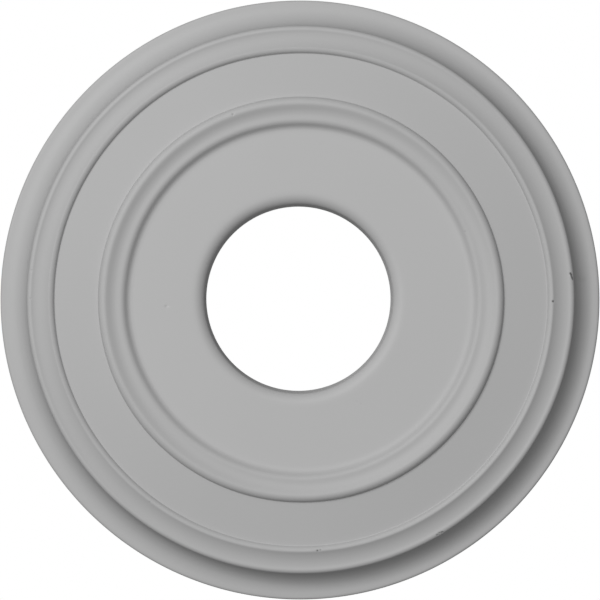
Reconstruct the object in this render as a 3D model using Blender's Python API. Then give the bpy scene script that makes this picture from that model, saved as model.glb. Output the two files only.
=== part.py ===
"""A plain turned ceiling rose, moulded in one piece, as it hangs on a ceiling.

The back lies in the plane z = 0 and the face looks down, towards -Z. The axis of the
turning is the Z axis. Sizes are in metres and angles in degrees.
"""
import math

import bmesh
import bpy

# Widths and radii across the face, from the outer edge in
OUTER_RADIUS = 0.1651
RIM_EDGE_RADIUS = 0.0012
RIM_FLAT_WIDTH = 0.00185
COVE_WIDTH = 0.01227
LIP_RADIUS = 0.0022
LIP_BACK_RADIUS = 0.0011
HOLLOW_WIDTH = 0.00856
RING_EDGE_RADIUS = 0.00036
RING_TOP_WIDTH = 0.00014
RING_ROUND_WIDTH = 0.00274
BEAD_RADIUS = 0.00342
BEAD_COVE_WIDTH = 0.00535
RIDGE_WIDTH = 0.00138
OGEE_WIDTH = 0.00626
HOLE_EDGE_RADIUS = 0.00657
BORE_DRAFT = 0.0011
BORE_RADIUS = 0.0508

# The outer band's share of the plain width that the mouldings leave; the inner flat has the rest
BAND_SHARE = 0.4104

# Heights, each from where the last one ends
RIM_THICKNESS = 0.00727
COVE_DEPTH = 0.0152
RING_STEP = 0.00233
BAND_RISE = 0.00186
BEAD_FOOT_RISE = 0.00043

# Slopes where the curves start, end or meet
COVE_TOP_SLOPE = 76.4
LIP_BACK_SLOPE = 23.8
HOLLOW_START_SLOPE = -6.4
HOLLOW_END_SLOPE = 34.4
BEAD_FOOT_SLOPE = 82
BEAD_COVE_SLOPE = 33
RIDGE_SLOPE = 13
OGEE_SLOPE = 60
HOLE_EDGE_SLOPE = 67.2

# The back: two lands that touch the ceiling and a shallow relief between them
GLUE_LAND_WIDTH = 0.0140
BORE_LAND_WIDTH = 0.0120
RELIEF_DEPTH = 0.0015
RELIEF_EDGE_WIDTH = 0.0020
BACK_EASING = 0.0005

SEGMENTS = 80
COLOUR = (0.45, 0.45, 0.45, 1.0)
ROUGHNESS = 0.6


def step(line, inward, up):
    """Carries the line on by a straight stretch."""
    r, h = line[-1]
    line.append((r - inward, h + up))


def arc(line, start, end, radius, points, stretch=1.0):
    """Carries the line on by an arc between two slopes.

    A slope is positive where the face climbs towards the axis, so a growing slope makes a
    hollow and a falling one a round. Stretch draws the arc out in height, to an ellipse.
    """
    r, h = line[-1]
    side = 1 if end > start else -1
    first = math.radians(start)
    for i in range(1, points + 1):
        slope = math.radians(start + (end - start) * i / points)
        inward = side * radius * (math.sin(slope) - math.sin(first))
        up = side * radius * stretch * (math.cos(first) - math.cos(slope))
        line.append((r - inward, h + up))


def s_curve(line, width, slope, points):
    """Carries the line on by two equal arcs that meet halfway, at their steepest."""
    radius = width / 2 / math.sin(math.radians(abs(slope)))
    arc(line, 0, slope, radius, points)
    arc(line, slope, 0, radius, points)


def outer_mouldings():
    """The rim, the deep cove with its lip, and the outer ring, down to the plain band."""
    line = [(OUTER_RADIUS, RIM_THICKNESS - RIM_EDGE_RADIUS)]
    arc(line, 90, 0, RIM_EDGE_RADIUS, 2)
    step(line, RIM_FLAT_WIDTH, 0)
    arc(line, 0, COVE_TOP_SLOPE, COVE_WIDTH, 7, COVE_DEPTH / COVE_WIDTH)
    arc(line, COVE_TOP_SLOPE, -LIP_BACK_SLOPE, LIP_RADIUS, 4)
    arc(line, -LIP_BACK_SLOPE, HOLLOW_START_SLOPE, LIP_BACK_RADIUS, 2)
    sines = math.sin(math.radians(HOLLOW_END_SLOPE)) - math.sin(math.radians(HOLLOW_START_SLOPE))
    arc(line, HOLLOW_START_SLOPE, HOLLOW_END_SLOPE, HOLLOW_WIDTH / sines, 4)
    arc(line, HOLLOW_END_SLOPE, 0, RING_EDGE_RADIUS, 2)
    step(line, RING_TOP_WIDTH, 0)
    arc(line, 0, -90, RING_ROUND_WIDTH, 3, RING_STEP / RING_ROUND_WIDTH)
    return line


def inner_mouldings(foot, band_height):
    """The bead, its shallow cove, the low ridge and the S curve down to the inner flat."""
    line = [(foot, band_height)]
    step(line, 0, BEAD_FOOT_RISE)
    arc(line, BEAD_FOOT_SLOPE, -BEAD_COVE_SLOPE, BEAD_RADIUS, 8)
    arc(line, -BEAD_COVE_SLOPE, 0, BEAD_COVE_WIDTH / math.sin(math.radians(BEAD_COVE_SLOPE)), 3)
    s_curve(line, RIDGE_WIDTH, RIDGE_SLOPE, 1)
    s_curve(line, OGEE_WIDTH, -OGEE_SLOPE, 3)
    return line


def back():
    """The plain back, from the hole out, with its edges eased."""
    relief_in = BORE_RADIUS + BORE_LAND_WIDTH
    relief_out = OUTER_RADIUS - GLUE_LAND_WIDTH
    return [
        (BORE_RADIUS, BACK_EASING),
        (BORE_RADIUS + BACK_EASING, 0),
        (relief_in, 0),
        (relief_in + RELIEF_EDGE_WIDTH, RELIEF_DEPTH),
        (relief_out - RELIEF_EDGE_WIDTH, RELIEF_DEPTH),
        (relief_out, 0),
        (OUTER_RADIUS - BACK_EASING, 0),
        (OUTER_RADIUS, BACK_EASING),
    ]


def section():
    """The closed outline of the rose's section, as (radius, height over the ceiling)."""
    outer = outer_mouldings()
    outer_foot, band_height = outer[-1]
    bore_front = BORE_RADIUS + BORE_DRAFT
    hole_start = bore_front + HOLE_EDGE_RADIUS * math.sin(math.radians(HOLE_EDGE_SLOPE))
    free = inner_mouldings(0, 0)
    inner_width = -free[-1][0]
    band_width = BAND_SHARE * (outer_foot - hole_start - inner_width)
    inner = inner_mouldings(outer_foot - band_width, band_height + BAND_RISE)
    edge = [(hole_start, inner[-1][1])]
    arc(edge, 0, -HOLE_EDGE_SLOPE, HOLE_EDGE_RADIUS, 3)
    return outer + inner + edge + back()


def turned(name, outline):
    """A mesh of the outline carried round the Z axis, with the face down."""
    bm = bmesh.new()
    points = [bm.verts.new((r, 0, -h)) for r, h in outline]
    edges = [bm.edges.new((a, b)) for a, b in zip(points, points[1:] + points[:1])]
    bmesh.ops.spin(
        bm, geom=points + edges, cent=(0, 0, 0), axis=(0, 0, 1), dvec=(0, 0, 0),
        angle=2 * math.pi, steps=SEGMENTS, use_merge=True)
    bmesh.ops.recalc_face_normals(bm, faces=bm.faces)
    mesh = bpy.data.meshes.new(name)
    bm.to_mesh(mesh)
    bm.free()
    mesh.shade_smooth()
    mesh.set_sharp_from_angle(angle=math.radians(35))
    return mesh


def primed_foam():
    """The smooth matt grey of primed high-density foam."""
    material = bpy.data.materials.new("primed_foam")
    material.use_nodes = True
    shader = material.node_tree.nodes["Principled BSDF"]
    shader.inputs["Base Color"].default_value = COLOUR
    shader.inputs["Roughness"].default_value = ROUGHNESS
    shader.inputs["Metallic"].default_value = 0
    material.diffuse_color = COLOUR
    return material


for obj in list(bpy.data.objects):
    bpy.data.objects.remove(obj, do_unlink=True)

rose = bpy.data.objects.new("ceiling_rose", turned("ceiling_rose", section()))
rose.data.materials.append(primed_foam())
bpy.context.scene.collection.objects.link(rose)
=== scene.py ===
# Looks of a plain turned ceiling rose. Metres, the back at z = 0 and the face down, towards -Z
import math
import bpy
import numpy as np
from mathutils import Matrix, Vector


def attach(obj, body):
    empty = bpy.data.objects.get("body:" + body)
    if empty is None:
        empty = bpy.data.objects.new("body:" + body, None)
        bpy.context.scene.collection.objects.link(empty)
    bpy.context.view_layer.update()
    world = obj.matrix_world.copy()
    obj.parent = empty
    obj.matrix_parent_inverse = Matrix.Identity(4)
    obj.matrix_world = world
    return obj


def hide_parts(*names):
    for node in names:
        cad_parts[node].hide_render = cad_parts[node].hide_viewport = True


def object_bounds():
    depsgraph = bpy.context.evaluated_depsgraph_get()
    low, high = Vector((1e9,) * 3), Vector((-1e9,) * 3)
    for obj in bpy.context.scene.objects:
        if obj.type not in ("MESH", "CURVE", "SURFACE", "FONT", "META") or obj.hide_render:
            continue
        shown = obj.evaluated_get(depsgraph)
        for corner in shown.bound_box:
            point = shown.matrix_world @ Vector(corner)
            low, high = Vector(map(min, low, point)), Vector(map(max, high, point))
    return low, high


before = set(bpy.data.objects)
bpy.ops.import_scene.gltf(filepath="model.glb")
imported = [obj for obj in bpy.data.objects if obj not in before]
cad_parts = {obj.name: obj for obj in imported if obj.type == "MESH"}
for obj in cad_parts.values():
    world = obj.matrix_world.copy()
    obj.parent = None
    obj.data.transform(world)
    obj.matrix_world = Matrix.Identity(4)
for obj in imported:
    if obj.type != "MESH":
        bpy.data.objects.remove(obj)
cadLow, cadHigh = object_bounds()
rootBody = "root"
roseNode = "ceiling_rose"
print("frame loaded, box", tuple(round(v, 4) for v in cadHigh - cadLow))

# The section. Widths run in towards the axis and heights out from the ceiling; slopes are in degrees
section = {
    "outerRadius": cadHigh.x,
    "rimEdge": 0.0012, "rimThickness": 0.00727, "rimFlat": 0.00185,
    "coveWidth": 0.01227, "coveDepth": 0.0152, "coveTopSlope": 76.4,
    "lipRadius": 0.0022, "lipBackRadius": 0.0011, "lipBackSlope": 23.8,
    "hollowWidth": 0.00856, "hollowStartSlope": -6.4, "hollowEndSlope": 34.4,
    "ringEdge": 0.00036, "ringTop": 0.00014, "ringRound": 0.00274, "ringStep": 0.00233,
    "bandShare": 0.4104, "bandRise": 0.00186,
    "beadFoot": 0.00043, "beadFootSlope": 82, "beadRadius": 0.00342,
    "beadCoveWidth": 0.00535, "beadCoveSlope": 33,
    "ridgeWidth": 0.00138, "ridgeSlope": 13, "ogeeWidth": 0.00626, "ogeeSlope": 60,
    "holeEdge": 0.00657, "holeEdgeSlope": 67.2, "boreRadius": 0.0508, "boreDraft": 0.0011,
    "glueLand": 0.0140, "boreLand": 0.0120, "reliefDepth": 0.0015, "reliefEdge": 0.0020, "backEasing": 0.0005,
    "arcPoints": 48, "step": 0.0001, "softness": 0.00028,  # how finely it is drawn, and how soft it is
}


def straight(inward, up):
    # A straight stretch, as one step: how far in towards the axis and how far out from the ceiling
    return np.array([[inward, up]])


def arc(start, end, radius, stretch=1.0):
    # An arc between two slopes as short steps. At slope s it has gone side R (sin s - sin start) inwards
    # and side R stretch (cos start - cos s) outwards, where side is 1 for a hollow and -1 for a round
    side = 1 if end > start else -1
    slope = np.radians(np.linspace(start, end, section["arcPoints"]))
    return np.diff(side * radius * np.stack([np.sin(slope), -stretch * np.cos(slope)], 1), axis=0)


def sine(degrees):
    # The sine of a slope given in degrees
    return math.sin(math.radians(degrees))


def sCurve(width, slope):
    # Two equal arcs that meet halfway, at their steepest, each half the width across
    radius = width / 2 / sine(abs(slope))
    return np.concatenate([arc(0, slope, radius), arc(slope, 0, radius)])


def faceLine():
    # The face from the outer edge to the hole, as (radius, height): the steps of its mouldings added up.
    # The plain band and the inner flat share what the mouldings leave of the width
    s = section
    hollow = s["hollowWidth"] / (sine(s["hollowEndSlope"]) - sine(s["hollowStartSlope"]))
    outer = np.concatenate([
        arc(90, 0, s["rimEdge"]),
        straight(s["rimFlat"], 0),
        arc(0, s["coveTopSlope"], s["coveWidth"], s["coveDepth"] / s["coveWidth"]),
        arc(s["coveTopSlope"], -s["lipBackSlope"], s["lipRadius"]),
        arc(-s["lipBackSlope"], s["hollowStartSlope"], s["lipBackRadius"]),
        arc(s["hollowStartSlope"], s["hollowEndSlope"], hollow),
        arc(s["hollowEndSlope"], 0, s["ringEdge"]),
        straight(s["ringTop"], 0),
        arc(0, -90, s["ringRound"], s["ringStep"] / s["ringRound"]),
    ])
    inner = np.concatenate([
        straight(0, s["beadFoot"]),
        arc(s["beadFootSlope"], -s["beadCoveSlope"], s["beadRadius"]),
        arc(-s["beadCoveSlope"], 0, s["beadCoveWidth"] / sine(s["beadCoveSlope"])),
        sCurve(s["ridgeWidth"], s["ridgeSlope"]),
        sCurve(s["ogeeWidth"], -s["ogeeSlope"]),
    ])
    holeStart = s["boreRadius"] + s["boreDraft"] + s["holeEdge"] * sine(s["holeEdgeSlope"])
    free = s["outerRadius"] - holeStart - outer[:, 0].sum() - inner[:, 0].sum()
    band = straight(s["bandShare"] * free, s["bandRise"])
    flat = straight((1 - s["bandShare"]) * free, 0)
    steps = np.concatenate([outer, band, inner, flat, arc(0, -s["holeEdgeSlope"], s["holeEdge"])])
    line = np.cumsum(np.concatenate([straight(0, 0), steps]), axis=0)
    return np.stack([s["outerRadius"] - line[:, 0], s["rimThickness"] - s["rimEdge"] + line[:, 1]], 1)


def backLine():
    # The back from the hole out: two lands that touch the ceiling, with a shallow relief between them
    s = section
    reliefIn = s["boreRadius"] + s["boreLand"]
    reliefOut = s["outerRadius"] - s["glueLand"]
    return np.array([
        (s["boreRadius"], s["backEasing"]), (s["boreRadius"] + s["backEasing"], 0),
        (reliefIn, 0), (reliefIn + s["reliefEdge"], s["reliefDepth"]),
        (reliefOut - s["reliefEdge"], s["reliefDepth"]), (reliefOut, 0),
        (s["outerRadius"] - s["backEasing"], 0), (s["outerRadius"], s["backEasing"]),
    ])


def along(line):
    # The distance gone along a closed line at each of its points, and once more at the start
    closed = np.concatenate([line, line[:1]])
    return closed, np.concatenate([[0], np.cumsum(np.hypot(*np.diff(closed, axis=0).T))])


def softLine(line, step, softness):
    # The closed line at even steps, every point averaged with its neighbours under a bell curve of that
    # softness, cut off at four times its width
    closed, gone = along(line)
    count = round(gone[-1] / step)
    places = np.arange(count) * gone[-1] / count
    even = np.stack([np.interp(places, gone, closed[:, i]) for i in (0, 1)], 1)
    reach = round(4 * softness / step)
    offsets = np.arange(-reach, reach + 1)
    weights = np.exp(-0.5 * (offsets * step / softness) ** 2)
    return sum(w * np.roll(even, k, axis=0) for k, w in zip(offsets, weights / weights.sum()))


def rolled(values, reach):
    # A closed row of values, each averaged over its neighbours up to that many places away
    return sum(np.roll(values, k) for k in range(-reach, reach + 1)) / (2 * reach + 1)


def bends(line, step):
    # How sharply the closed line turns, in 1/m: positive on rounds and negative in hollows
    ahead = np.roll(line, -1, axis=0) - line
    heading = np.arctan2(ahead[:, 1], ahead[:, 0])
    turn = heading - np.roll(heading, 1)
    return (np.mod(turn + np.pi, 2 * np.pi) - np.pi) / step


def gathered(weights, count):
    # Places, in steps, that split a row of weights into equal parts, so points gather where it is heavy
    total = np.concatenate([[0], np.cumsum(weights)])
    return np.interp(np.arange(count) * total[-1] / count, total, np.arange(len(total)))


sectionLine = softLine(np.concatenate([faceLine(), backLine()]), section["step"], section["softness"])
print("section:", len(sectionLine), "points,", round(float(sectionLine[:, 1].max()) * 1000, 2), "mm deep")

# The surface: how many lines go round and across, and what the casting and handling left on it. A pair of
# radii is a span over which something fades in or out
surface = {
    "around": 580, "across": 170,
    "bendGather": 0.0045,  # metres: how strongly the lines across gather where the section bends
    "markGather": 14, "markReach": 0.0011, "ringGather": 3, "ringReach": 0.0009,  # and both ways at the marks
    "backThin": 0.35,  # the back's share of lines, for its length
    "bendBlur": 3, "gatherBlur": 4, "backBlur": 10,  # section steps averaged over, to each side
    "angleSteps": 7200,  # the even angles on which the gathering round is worked out
    "fullBend": 900,  # 1/m: a bend this sharp is a whole arris or crease
    "backUpTo": 1.01, "wanderFrom": 1.5, "marksFrom": 2,  # heights, in depths of the back's relief
    "holeShift": (-0.00085, -0.0007), "holeCalm": (0.060, 0.088),
    "mouldShift": (0.00048, -0.00022), "mouldStart": (0.070, 0.090), "mouldEnd": (0.1565, 0.1625),
    # Each wave round the rings: how many times, its size and its phase in degrees
    "wander": ((2, 0.00009, 40), (3, 0.00006, 200), (5, 0.00005, 310), (9, 0.00003, 75)),
    "wanderTwist": 25, "wanderFade": (0.150, 0.162),
}

# Marks in the face: where each is on it, or where a run of them starts and ends, how far it reaches from its
# middle, how deep it is pressed in, and how much darker it is, or lighter where that is negative. The
# darkening is painted shade in the chip and the pits, and the lightening is a painted highlight beside the
# chip and on a pit's lit side; the faint broad run in the cove beside the chip is only darker
marks = (
    # A chip in the outer arris: its darkness is painted shade in the notch
    {"at": (0.14815, -0.01462), "to": (0.14872, -0.01375), "count": 3, "size": 0.00046, "depth": 0.00040,
     "shade": 0.38},
    {"at": (0.14866, -0.01345), "to": (0.14958, -0.01130), "count": 5, "size": 0.00044, "depth": 0.00040,
     "shade": 0.38},
    # A painted highlight beside the chip
    {"at": (0.14785, -0.01345), "size": 0.00045, "depth": 0.0, "shade": -0.12},
    # A faint darker patch in the cove beside the chip
    {"at": (0.15100, -0.01290), "to": (0.15640, -0.01150), "count": 3, "size": 0.00180, "depth": 0.0,
     "shade": 0.035},
    # Pits: their darkness is painted shade inside them, and a lighter spot beside one is a painted highlight
    # on its lit side
    {"at": (0.13848, 0.00072), "size": 0.00052, "depth": 0.00045, "shade": 0.44},
    {"at": (0.00955, 0.13714), "size": 0.00050, "depth": 0.00040, "shade": 0.34},
    {"at": (0.01115, 0.13674), "size": 0.00045, "depth": 0.00030, "shade": 0.20},
    {"at": (-0.03672, -0.10155), "size": 0.00050, "depth": 0.00050, "shade": 0.10},
    {"at": (-0.03600, -0.10160), "size": 0.00042, "depth": 0.0, "shade": -0.06},
    {"at": (-0.07300, 0.00345), "size": 0.00080, "depth": 0.00020, "shade": 0.0},
    {"at": (-0.07380, 0.00345), "size": 0.00055, "depth": 0.0, "shade": 0.05},
    {"at": (-0.07225, 0.00345), "size": 0.00055, "depth": 0.0, "shade": -0.05},
    {"at": (0.09022, -0.03730), "size": 0.00055, "depth": 0.00015, "shade": 0.04},
    {"at": (0.03128, 0.05551), "size": 0.00045, "depth": 0.00008, "shade": 0.02},
    {"at": (0.03336, 0.05671), "size": 0.00045, "depth": 0.00008, "shade": 0.02},
    {"at": (-0.08223, 0.11065), "size": 0.00045, "depth": 0.00025, "shade": 0.05},
    {"at": (-0.14700, -0.01615), "size": 0.00045, "depth": 0.00025, "shade": 0.04},
    {"at": (-0.14755, -0.00082), "size": 0.00045, "depth": 0.00025, "shade": 0.04},
    {"at": (-0.11229, -0.08005), "size": 0.00045, "depth": 0.00025, "shade": 0.04},
)
# A short crumbly place on the outer arris: small pits, darkened with painted shade, and pale flecks strewn
# about its middle
crumbs = {
    "at": (0.07680, 0.12790), "along": 0.0018, "across": 0.0006, "count": 16, "size": 0.00042,
    "depth": 0.00035, "shade": 0.30, "least": 0.4,  # the weakest one's share of the depth and shade
    "fleck": 0.10, "fleckEvery": 3, "seed": 4,
}


def allSpots():
    # One row (x, y, size, depth, shade) for each mark: runs at even places from start to end, and the crumbs
    # at random places along and across the ring's own direction, every third one a pale fleck
    rows = []
    for mark in marks:
        share = np.linspace(0, 1, mark.get("count", 1))[:, None]
        places = np.array(mark["at"]) * (1 - share) + np.array(mark.get("to", mark["at"])) * share
        rows += [(x, y, mark["size"], mark["depth"], mark["shade"]) for x, y in places]
    rng = np.random.default_rng(crumbs["seed"])
    middle = np.array(crumbs["at"])
    outwards = middle / np.hypot(*middle)
    around = np.array([-outwards[1], outwards[0]])
    for i in range(crumbs["count"]):
        x, y = (middle + around * crumbs["along"] * rng.uniform(-1, 1)
                + outwards * crumbs["across"] * rng.uniform(-1, 1))
        # The darker crumbs get painted shade in their pits
        dark = i % crumbs["fleckEvery"]
        shade = crumbs["shade"] * rng.uniform(crumbs["least"], 1) if dark else -crumbs["fleck"]
        rows.append((x, y, crumbs["size"], crumbs["depth"] * rng.uniform(crumbs["least"], 1), shade))
    return np.array(rows)


spots = allSpots()

# The coat of primer. Tones, losses and gains are added to the colour or taken from it, and spans are radii
primer = {
    "colour": 0.45, "roughness": 0.6, "toneSwing": 0.008, "darkest": 0.02,
    "wearLoss": 0.035, "dustGain": 0.02, "patchFrom": 0.35, "patchGain": 2.0,
    "grainHeight": 0.00002, "grainStrength": 0.25,
    # Painted light: the inner flat is made lighter over its span. Painted shade: the hollow is made darker
    # over its span
    "flatTone": 0.03, "flatSpan": (0.050, 0.0945),
    "hollowTone": -0.02, "hollowSpan": (0.1365, 0.1485), "spanSoft": 0.0020,
    "backRoughness": 0.16, "backTone": 0.03, "skinHeight": 0.00035,
    "poreLoss": 0.12, "poreEdge": 9.0, "poreAreas": 30.0, "areasFrom": 0.5, "areasGain": 6.0,
}


def nearness(apart, reach):
    # 1 at a mark, falling off as exp(-(d / reach)^2) with the distance d from the nearest one
    return np.exp(-(np.abs(apart).min(axis=1) / reach) ** 2)


def spacedSection(line):
    # Section points and their bends, gathered by the weight 1 + bendGather |bend| + ringGather at the marks'
    # radii, with a smaller share on the back
    bend = rolled(bends(line, section["step"]), surface["bendBlur"])
    backTop = section["reliefDepth"] * surface["backUpTo"]
    onBack = rolled((line[:, 1] < backTop).astype(float), surface["backBlur"])
    ringNear = nearness(line[:, :1] - np.hypot(spots[:, 0], spots[:, 1])[None, :], surface["ringReach"])
    sharp = rolled(np.abs(bend), surface["gatherBlur"])
    weight = 1 + surface["bendGather"] * sharp + surface["ringGather"] * ringNear
    places = gathered(weight * (1 - (1 - surface["backThin"]) * onBack), surface["across"])
    row = np.arange(len(line) + 1)
    wrap = [np.append(v, v[0]) for v in (line[:, 0], line[:, 1], bend, onBack)]
    return [np.interp(places, row, v) for v in wrap]


def spacedAngles():
    # Angles round the axis, gathered at the marks by the weight 1 + markGather times their nearness
    steps = surface["angleSteps"]
    fine = np.arange(steps) * 2 * np.pi / steps
    apart = np.angle(np.exp(1j * (fine[:, None] - np.arctan2(spots[:, 1], spots[:, 0])[None, :])))
    near = nearness(apart * np.hypot(spots[:, 0], spots[:, 1])[None, :], surface["markReach"])
    return gathered(1 + surface["markGather"] * near, surface["around"]) * 2 * np.pi / steps


def smooth(value):
    # The cubic step from 0 to 1
    t = np.clip(value, 0, 1)
    return t * t * (3 - 2 * t)


def turned(radius, height, angles):
    # Every section point carried round the axis: x = r cos a, y = r sin a, z = -h. On the face the radius
    # wanders by low waves, size cos(times (a + twist r) + phase), which fade out before the rim
    calm = 1 - faded(radius, "wanderFade")
    twist = surface["wanderTwist"] * radius[None, :]
    waves = sum(size * np.cos(times * angles[:, None] + math.radians(phase) + twist * times)
                for times, size, phase in surface["wander"])
    onFace = height[None, :] > section["reliefDepth"] * surface["wanderFrom"]
    r = radius[None, :] + waves * calm[None, :] * onFace
    z = np.broadcast_to(-height[None, :], r.shape)
    return np.stack([r * np.cos(angles)[:, None], r * np.sin(angles)[:, None], z], 2)


def faded(radius, name):
    # Goes smoothly from 0 at a span's first radius to 1 at its second
    start, end = surface[name]
    return smooth((radius - start) / (end - start))


def slid(points):
    # The mould's parts sat a little off one another: the hole and the mouldings each move sideways by a
    # shift that fades out on the flats beside them
    r = np.hypot(points[..., 0], points[..., 1])
    hole = (1 - faded(r, "holeCalm"))[..., None] * np.array([*surface["holeShift"], 0])
    mouldings = (faded(r, "mouldStart") * (1 - faded(r, "mouldEnd")))[..., None]
    return points + hole + mouldings * np.array([*surface["mouldShift"], 0])


def gridNormals(points):
    # The cross product of the differences across and round, which points out of the solid
    around = np.roll(points, -1, axis=0) - np.roll(points, 1, axis=0)
    across = np.roll(points, -1, axis=1) - np.roll(points, 1, axis=1)
    normal = np.cross(across, around)
    return normal / np.linalg.norm(normal, axis=2, keepdims=True)


def spotCentres(points):
    # Each mark's middle on the face. Its height is the lowest z among the face points whose distance from it,
    # seen along the axis, is at most the smallest one and half its size
    face = points[points[..., 2] < -section["reliefDepth"] * surface["marksFrom"]]
    heights = []
    for spot in spots:
        apart = np.hypot(*(face[:, :2] - spot[:2]).T)
        heights.append(face[apart <= apart.min() + spot[2] / 2, 2].min())
    return np.column_stack([spots[:, :2], heights])


def dented(points, normals, centres):
    # Each mark presses the points in against the normal by depth exp(-(d / size)^2), d from its middle
    moved = points.copy()
    for centre, (size, depth) in zip(centres, spots[:, 2:4]):
        apart = np.sum((points - centre) ** 2, axis=2)
        moved -= normals * (depth * np.exp(-apart / size ** 2))[..., None]
    return moved


def closedMesh(name, points):
    # A grid that closes both ways: quads between each point and the next ones across and round, facing out
    around, across = points.shape[:2]
    corner = np.arange(around * across).reshape(around, across)
    beside = np.roll(corner, -1, axis=1)
    quads = np.stack([corner, beside, np.roll(beside, -1, axis=0), np.roll(corner, -1, axis=0)], 2)
    mesh = bpy.data.meshes.new(name)
    mesh.from_pydata(points.reshape(-1, 3), [], quads.reshape(-1, 4))
    mesh.shade_smooth()
    return mesh


def addAttribute(mesh, name, values):
    # One number at each point, which the material reads by name
    layer = mesh.attributes.new(name, "FLOAT", "POINT")
    layer.data.foreach_set("value", values.astype(np.float32).ravel())


def paintedLightTone(radius):
    # Painted light on the inner flat and painted shade in the hollow, added to the colour: each one's tone
    # times a soft window over its radii
    tone = np.zeros(len(radius))
    soft = primer["spanSoft"]
    for name in ("flat", "hollow"):
        start, end = primer[name + "Span"]
        tone += primer[name + "Tone"] * smooth((radius - start) / soft) * smooth((end - radius) / soft)
    return tone


def makeRose():
    # The section turned, slid and dented, with masks for its arrises, creases and back, and the painted light
    # on the inner flat and the painted shade in the hollow
    radius, height, bend, onBack = spacedSection(sectionLine)
    angles = spacedAngles()
    points = slid(turned(radius, height, angles))
    centres = spotCentres(points)
    mesh = closedMesh("rose", dented(points, gridNormals(points), centres))
    everyTurn = np.ones((len(angles), 1))
    addAttribute(mesh, "arris", everyTurn * np.clip(bend / surface["fullBend"], 0, 1))
    addAttribute(mesh, "crease", everyTurn * np.clip(-bend / surface["fullBend"], 0, 1))
    addAttribute(mesh, "back", everyTurn * onBack)
    # Painted light on the inner flat and painted shade in the hollow, on the face only
    addAttribute(mesh, "paintedLight", everyTurn * paintedLightTone(radius) * (1 - onBack))
    rose = bpy.data.objects.new("rose", mesh)
    bpy.context.scene.collection.objects.link(rose)
    return rose, centres


# Shader groups. Each puts out masks, tones or heights that change over the surface
def newGroup(name, inputs, outputs):
    # An empty group with inputs (label, kind, value) and outputs that are plain numbers
    tree = bpy.data.node_groups.new(name, "ShaderNodeTree")
    for label, kind, value in inputs:
        socket = tree.interface.new_socket(label, in_out="INPUT", socket_type=kind)
        if value is not None:
            socket.default_value = value
    for label in outputs:
        tree.interface.new_socket(label, in_out="OUTPUT", socket_type="NodeSocketFloat")
    return tree, tree.nodes.new("NodeGroupInput"), tree.nodes.new("NodeGroupOutput")


def mathNode(tree, operation, first, second=0.0):
    # One Math node; each input is a socket or a plain number
    node = tree.nodes.new("ShaderNodeMath")
    node.operation = operation
    for socket, value in zip(node.inputs, (first, second)):
        if isinstance(value, (int, float)):
            socket.default_value = value
        else:
            tree.links.new(value, socket)
    return node.outputs[0]


def noiseNode(tree, vector, scale, detail=3.0):
    # Noise from 0 to 1 over a place; the scale is a socket or a plain number
    node = tree.nodes.new("ShaderNodeTexNoise")
    node.inputs["Detail"].default_value = detail
    tree.links.new(vector, node.inputs["Vector"])
    if isinstance(scale, (int, float)):
        node.inputs["Scale"].default_value = scale
    else:
        tree.links.new(scale, node.inputs["Scale"])
    return node.outputs["Fac"]


def grainGroup():
    # Sprayed primer: fine noise for the height, and broad soft noise for the tone
    tree, inside, out = newGroup("primerGrain", (
        ("Vector", "NodeSocketVector", None), ("Fine Scale", "NodeSocketFloat", 1800.0),
        ("Broad Scale", "NodeSocketFloat", 14.0)), ("Height", "Tone"))
    fine = noiseNode(tree, inside.outputs["Vector"], inside.outputs["Fine Scale"])
    broad = noiseNode(tree, inside.outputs["Vector"], inside.outputs["Broad Scale"], detail=2.0)
    tree.links.new(fine, out.inputs["Height"])
    tree.links.new(broad, out.inputs["Tone"])
    return tree


def wearGroup():
    # Pale dust in the creases and soiling on the handled arrises, both broken up by noise
    tree, inside, out = newGroup("dustAndWear", (
        ("Vector", "NodeSocketVector", None), ("Arris", "NodeSocketFloat", 0.0),
        ("Crease", "NodeSocketFloat", 0.0), ("Patch Scale", "NodeSocketFloat", 90.0)), ("Wear", "Dust"))
    patches = noiseNode(tree, inside.outputs["Vector"], inside.outputs["Patch Scale"])
    opened = mathNode(tree, "SUBTRACT", patches, primer["patchFrom"])
    opened = mathNode(tree, "MULTIPLY", opened, primer["patchGain"])
    for mask, label in (("Arris", "Wear"), ("Crease", "Dust")):
        worn = mathNode(tree, "MULTIPLY", inside.outputs[mask], opened)
        worn.node.use_clamp = True
        tree.links.new(worn, out.inputs[label])
    return tree


def markGroup():
    # A mark's painted shade or highlight: 1 at its centre, falling off as exp(-(d / size)^2) with the
    # distance d
    tree, inside, out = newGroup("markShade", (
        ("Vector", "NodeSocketVector", None), ("Centre", "NodeSocketVector", None),
        ("Size", "NodeSocketFloat", 0.0005)), ("Mask",))
    apart = tree.nodes.new("ShaderNodeVectorMath")
    apart.operation = "DISTANCE"
    tree.links.new(inside.outputs["Vector"], apart.inputs[0])
    tree.links.new(inside.outputs["Centre"], apart.inputs[1])
    ratio = mathNode(tree, "DIVIDE", apart.outputs["Value"], inside.outputs["Size"])
    fall = mathNode(tree, "MULTIPLY", mathNode(tree, "MULTIPLY", ratio, ratio), -1.0)
    tree.links.new(mathNode(tree, "EXPONENT", fall), out.inputs["Mask"])
    return tree


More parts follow.
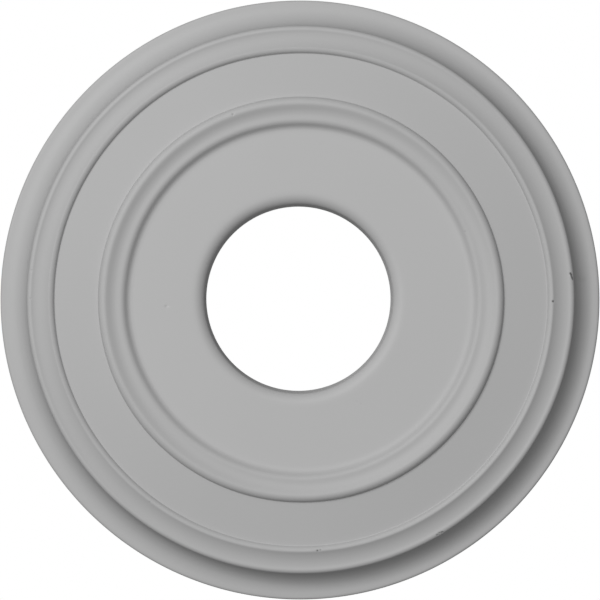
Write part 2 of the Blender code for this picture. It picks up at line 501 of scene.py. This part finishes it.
def skinGroup():
    # The foam's moulded skin, left plain on the back: soft swells for the height and small open pores
    tree, inside, out = newGroup("mouldedSkin", (
        ("Vector", "NodeSocketVector", None), ("Swell Scale", "NodeSocketFloat", 110.0),
        ("Pore Scale", "NodeSocketFloat", 210.0),
        ("Pore Size", "NodeSocketFloat", 0.16)), ("Height", "Pores"))
    cells = tree.nodes.new("ShaderNodeTexVoronoi")
    tree.links.new(inside.outputs["Vector"], cells.inputs["Vector"])
    tree.links.new(inside.outputs["Pore Scale"], cells.inputs["Scale"])
    inPore = mathNode(tree, "SUBTRACT", inside.outputs["Pore Size"], cells.outputs["Distance"])
    hollowed = mathNode(tree, "MULTIPLY", inPore, primer["poreEdge"])
    hollowed.node.use_clamp = True
    areas = noiseNode(tree, inside.outputs["Vector"], primer["poreAreas"])
    rare = mathNode(tree, "SUBTRACT", areas, primer["areasFrom"])
    rare = mathNode(tree, "MULTIPLY", rare, primer["areasGain"])
    rare.node.use_clamp = True
    pores = mathNode(tree, "MULTIPLY", hollowed, rare)
    swells = noiseNode(tree, inside.outputs["Vector"], inside.outputs["Swell Scale"])
    tree.links.new(mathNode(tree, "SUBTRACT", swells, pores), out.inputs["Height"])
    tree.links.new(pores, out.inputs["Pores"])
    return tree


def attributeNode(tree, name):
    # A number that the mesh carries at its points
    node = tree.nodes.new("ShaderNodeAttribute")
    node.attribute_name = name
    return node.outputs["Fac"]


def groupNode(tree, group, **links):
    # A group placed in a tree, with a source linked to each named input
    node = tree.nodes.new("ShaderNodeGroup")
    node.node_tree = group
    for label, source in links.items():
        tree.links.new(source, node.inputs[label])
    return node


def markedTone(tree, place, centres):
    # The sum of the marks' painted shade and painted highlight, each times its own mask, whose middle lies
    # halfway down the mark's dent
    group = markGroup()
    total = None
    for (x, y, z), (size, depth, shade) in zip(centres, spots[:, 2:]):
        if shade:
            node = groupNode(tree, group, Vector=place)
            node.inputs["Centre"].default_value = (x, y, z + depth / 2)
            node.inputs["Size"].default_value = size
            one = mathNode(tree, "MULTIPLY", node.outputs["Mask"], float(shade))
            total = mathNode(tree, "ADD", total, one) if total is not None else one
    return total


def primedFoam(centres):
    # Matt grey primer on moulded foam; the back keeps the foam's plain skin under a thin, drier coat. The
    # tone is the colour plus the painted light on the inner flat and painted shade in the hollow, the broad
    # noise about 0, and each mask times its gain, less the marks' painted shade and highlight
    material = bpy.data.materials.new("primedFoam")
    material.use_nodes = True
    tree = material.node_tree
    shader = tree.nodes["Principled BSDF"]
    place = tree.nodes.new("ShaderNodeTexCoord").outputs["Object"]
    back = attributeNode(tree, "back")
    grain = groupNode(tree, grainGroup(), Vector=place)
    skin = groupNode(tree, skinGroup(), Vector=place)
    wear = groupNode(tree, wearGroup(), Vector=place, Arris=attributeNode(tree, "arris"),
                     Crease=attributeNode(tree, "crease"))
    backPores = mathNode(tree, "MULTIPLY", skin.outputs["Pores"], back)
    broad = mathNode(tree, "SUBTRACT", grain.outputs["Tone"], 0.5)
    swing = mathNode(tree, "MULTIPLY", broad, 2 * primer["toneSwing"])
    # The colour plus the painted light on the inner flat and the painted shade in the hollow
    tone = mathNode(tree, "ADD", attributeNode(tree, "paintedLight"), primer["colour"])
    tone = mathNode(tree, "ADD", tone, swing)
    for mask, gain in ((wear.outputs["Wear"], -primer["wearLoss"]),
                       (wear.outputs["Dust"], primer["dustGain"]),
                       (back, primer["backTone"]),
                       (backPores, -primer["poreLoss"])):
        tone = mathNode(tree, "ADD", tone, mathNode(tree, "MULTIPLY", mask, gain))
    # Less the marks' painted shade in the chip and pits, and plus their painted highlights
    tone = mathNode(tree, "SUBTRACT", tone, markedTone(tree, place, centres))
    tone = mathNode(tree, "MAXIMUM", tone, primer["darkest"])
    colour = tree.nodes.new("ShaderNodeCombineColor")
    for channel in ("Red", "Green", "Blue"):
        tree.links.new(tone, colour.inputs[channel])
    tree.links.new(colour.outputs["Color"], shader.inputs["Base Color"])
    rough = mathNode(tree, "MULTIPLY", back, primer["backRoughness"])
    rough = mathNode(tree, "ADD", rough, primer["roughness"])
    tree.links.new(rough, shader.inputs["Roughness"])
    backSkin = mathNode(tree, "MULTIPLY", skin.outputs["Height"], back)
    backHeight = mathNode(tree, "MULTIPLY", backSkin, primer["skinHeight"])
    grainHeight = mathNode(tree, "MULTIPLY", grain.outputs["Height"], primer["grainHeight"])
    bump = tree.nodes.new("ShaderNodeBump")
    bump.inputs["Distance"].default_value = 1.0
    bump.inputs["Strength"].default_value = primer["grainStrength"]
    tree.links.new(mathNode(tree, "ADD", backHeight, grainHeight), bump.inputs["Height"])
    tree.links.new(bump.outputs["Normal"], shader.inputs["Normal"])
    return material


rose, markCentres = makeRose()
rose.data.materials.append(primedFoam(markCentres))
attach(rose, rootBody)
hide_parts(roseNode)
print("rose:", len(rose.data.vertices), "points,", 2 * len(rose.data.polygons), "triangles")

# The camera looks straight up at the face, on its axis, with the rose filling the frame
camera = {"distance": 2.2, "sensor": 36.0, "imageWidth": 600, "roseWidth": 599, "clipEnd": 200}


def makeCamera():
    # The rim is the widest line, so the lens is the one that gives it its width in the image
    lens = bpy.data.cameras.new("camera")
    away = camera["distance"] - section["rimThickness"] + section["rimEdge"]
    frameWidth = 2 * section["outerRadius"] * camera["imageWidth"] / camera["roseWidth"]
    lens.sensor_width = camera["sensor"]
    lens.lens = camera["sensor"] * away / frameWidth
    lens.clip_end = camera["clipEnd"]
    eye = bpy.data.objects.new("camera", lens)
    eye.location = (0, 0, -camera["distance"])
    eye.rotation_euler = (math.pi, 0, 0)
    bpy.context.scene.collection.objects.link(eye)
    bpy.context.scene.camera = eye


# Light: a soft lamp to the upper left of the face, a weaker broad one beside the camera, a dim even room,
# and a soft lamp over the back. Turns go from +X towards +Y and heights from the face's plane, both in
# degrees; a lamp's strength is the light that it sends straight onto the rose
light = {
    "key": {"turn": 221.8, "height": 58.1, "distance": 3.13, "halfAngle": 15.2, "strength": 2.04},
    "front": {"turn": 258.6, "height": 82.2, "distance": 2.6, "halfAngle": 25.1, "strength": 0.573},
    "back": {"turn": 200.0, "height": 78.0, "angle": 30.0, "strength": 2.0},
    "room": 0.194, "background": 1.0,
}


def aimed(name, data, place):
    # A lamp at a place, turned so that it shines at the rose
    lamp = bpy.data.objects.new(name, data)
    lamp.location = place
    lamp.rotation_euler = lamp.location.to_track_quat("Z", "Y").to_euler()
    lamp.visible_camera = False
    bpy.context.scene.collection.objects.link(lamp)
    return lamp


def direction(lamp, side):
    # The unit vector towards a lamp at its turn and height, on the face's side (-1) or the back's (1)
    turn, height = math.radians(lamp["turn"]), math.radians(lamp["height"])
    level = math.cos(height)
    return np.array([level * math.cos(turn), level * math.sin(turn), side * math.sin(height)])


def makeLights():
    # A disk lamp of power P at distance d sends P / (pi d^2) straight onto the rose
    for name in ("key", "front"):
        lamp = light[name]
        disk = bpy.data.lights.new(name + "Lamp", "AREA")
        disk.shape = "DISK"
        disk.size = 2 * lamp["distance"] * math.tan(math.radians(lamp["halfAngle"]))
        disk.energy = lamp["strength"] * math.pi * lamp["distance"] ** 2
        aimed(name + "Lamp", disk, direction(lamp, -1) * lamp["distance"])
    above = bpy.data.lights.new("backLamp", "SUN")
    above.energy = light["back"]["strength"]
    above.angle = math.radians(light["back"]["angle"])
    aimed("backLamp", above, direction(light["back"], 1)).visible_glossy = False


def makeRoom():
    # A dim even room for the surfaces, seen by the camera as a white one
    world = bpy.data.worlds.new("room")
    world.use_nodes = True
    tree = world.node_tree
    sky = tree.nodes["Background"]
    path = tree.nodes.new("ShaderNodeLightPath")
    gain = mathNode(tree, "MULTIPLY", path.outputs["Is Camera Ray"], light["background"] - light["room"])
    tree.links.new(mathNode(tree, "ADD", gain, light["room"]), sky.inputs["Strength"])
    sky.inputs["Color"].default_value = (1, 1, 1, 1)
    bpy.context.scene.world = world
    bpy.context.scene.view_settings.view_transform = "Standard"


floorSize = {"half": 30, "drop": 4.5, "tone": 0.8, "roughness": 0.9}


def makeFloor():
    # A plain pale floor far below the rose
    half, drop = floorSize["half"], floorSize["drop"]
    mesh = bpy.data.meshes.new("floor")
    corners = [(-half, -half, -drop), (half, -half, -drop), (half, half, -drop), (-half, half, -drop)]
    mesh.from_pydata(corners, [], [(0, 1, 2, 3)])
    material = bpy.data.materials.new("paleFloor")
    material.use_nodes = True
    shader = material.node_tree.nodes["Principled BSDF"]
    shader.inputs["Base Color"].default_value = (floorSize["tone"],) * 3 + (1,)
    shader.inputs["Roughness"].default_value = floorSize["roughness"]
    mesh.materials.append(material)
    floor = bpy.data.objects.new("floor", mesh)
    floor.visible_diffuse = False
    floor.visible_glossy = False
    bpy.context.scene.collection.objects.link(floor)


makeCamera()
makeLights()
makeRoom()
makeFloor()
print("camera, lights, room and floor ready")
